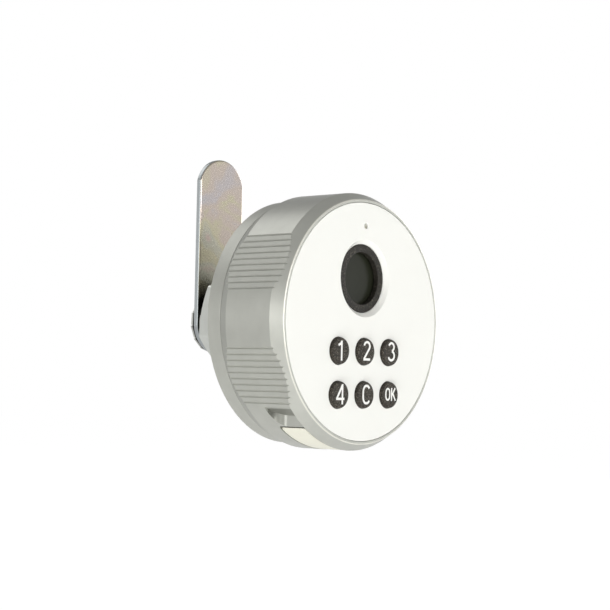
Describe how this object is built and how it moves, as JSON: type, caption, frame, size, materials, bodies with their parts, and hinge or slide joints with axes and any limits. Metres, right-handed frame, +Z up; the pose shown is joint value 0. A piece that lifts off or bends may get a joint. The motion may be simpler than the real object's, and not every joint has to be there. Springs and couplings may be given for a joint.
{
  "type": "fingerprint cam lock",
  "caption": "Round knob-style fingerprint and keypad cam lock with a threaded barrel, hexagonal nut and turning cam for a cabinet door.",
  "frame": {"origin": "on the lock's axis at the base ring's back, where it meets the front of the door", "axes": "+Y along the barrel into the door, +Z up along the cam at rest, -Y out of the face panel"},
  "size_m": [0.056, 0.0491, 0.0662],
  "materials": {
    "base_casting": "satin silver",
    "painted_casting": "satin silver",
    "bright_steel": "bright plated",
    "yellow_zinc": "zinc plated, faintly iridescent",
    "white_gloss": "gloss white",
    "cover_plastic": "warm white, semi-gloss",
    "key_rubber": "fine texture",
    "bezel_black": "satin black",
    "reader_glass": "dark, satin",
    "light_lens": "cloudy",
    "dome_film": "thin spring metal",
    "board_green": "lacquered",
    "frame_plastic": "moulded",
    "coil_case": "plain",
    "cell_steel": "bright",
    "contact_metal": "plated"
  },
  "bodies": {
    "base": {"lock_body": "base_casting", "hex_nut": "bright_steel", "retaining_ring": "bright_steel"},
    "knob": {"knob_shell": "painted_casting", "face_panel": "white_gloss", "sensor_bezel": "bezel_black", "sensor_window": "reader_glass", "status_light": "light_lens", "dome_sheet": "dome_film", "circuit_board": "board_green", "board_screw_1": "bright_steel", "board_screw_2": "bright_steel", "inner_frame": "frame_plastic", "frame_screw_1": "bright_steel", "frame_screw_2": "bright_steel", "frame_screw_3": "bright_steel", "frame_screw_4": "bright_steel", "solenoid": "coil_case", "contact_face": "contact_metal", "contact_rim": "contact_metal"},
    "key_1": {"key_1": "key_rubber"},
    "key_2": {"key_2": "key_rubber"},
    "key_3": {"key_3": "key_rubber"},
    "key_4": {"key_4": "key_rubber"},
    "key_c": {"key_c": "key_rubber"},
    "key_ok": {"key_ok": "key_rubber"},
    "drawer": {"battery_drawer": "cover_plastic", "coin_cell": "cell_steel"},
    "clutch": {"clutch_pin": "bright_steel"},
    "spindle": {"spindle": "bright_steel", "stop_washer": "yellow_zinc", "cam": "yellow_zinc", "tooth_washer": "bright_steel", "cam_screw": "bright_steel"}
  },
  "joints": [
    {"name": "knob_turn", "type": "hinge", "parent": "base", "child": "knob", "pos_m": [0, 0, 0], "axis": [0, 1, 0], "range_deg": [0, 90]},
    {"name": "spindle_turn", "type": "hinge", "parent": "base", "child": "spindle", "pos_m": [0, 0, 0], "axis": [0, 1, 0], "range_deg": [0, 90]},
    {"name": "key_1_press", "type": "slide", "parent": "knob", "child": "key_1", "axis": [0, 1, 0], "range_m": [0, 0.0003], "stiffness_N_per_m": 2500, "springref_m": -0.0002},
    {"name": "key_2_press", "type": "slide", "parent": "knob", "child": "key_2", "axis": [0, 1, 0], "range_m": [0, 0.0003], "stiffness_N_per_m": 2500, "springref_m": -0.0002},
    {"name": "key_3_press", "type": "slide", "parent": "knob", "child": "key_3", "axis": [0, 1, 0], "range_m": [0, 0.0003], "stiffness_N_per_m": 2500, "springref_m": -0.0002},
    {"name": "key_4_press", "type": "slide", "parent": "knob", "child": "key_4", "axis": [0, 1, 0], "range_m": [0, 0.0003], "stiffness_N_per_m": 2500, "springref_m": -0.0002},
    {"name": "key_c_press", "type": "slide", "parent": "knob", "child": "key_c", "axis": [0, 1, 0], "range_m": [0, 0.0003], "stiffness_N_per_m": 2500, "springref_m": -0.0002},
    {"name": "key_ok_press", "type": "slide", "parent": "knob", "child": "key_ok", "axis": [0, 1, 0], "range_m": [0, 0.0003], "stiffness_N_per_m": 2500, "springref_m": -0.0002},
    {"name": "drawer_slide", "type": "slide", "parent": "knob", "child": "drawer", "axis": [0, 0, -1], "range_m": [0, 0.024]},
    {"name": "clutch_slide", "type": "slide", "parent": "knob", "child": "clutch", "axis": [0, 0, -1], "range_m": [0, 0.0022]}
  ],
  "couplings": [
    {"joint": "spindle_turn", "follows": "knob_turn", "ratio": 1}
  ]
}
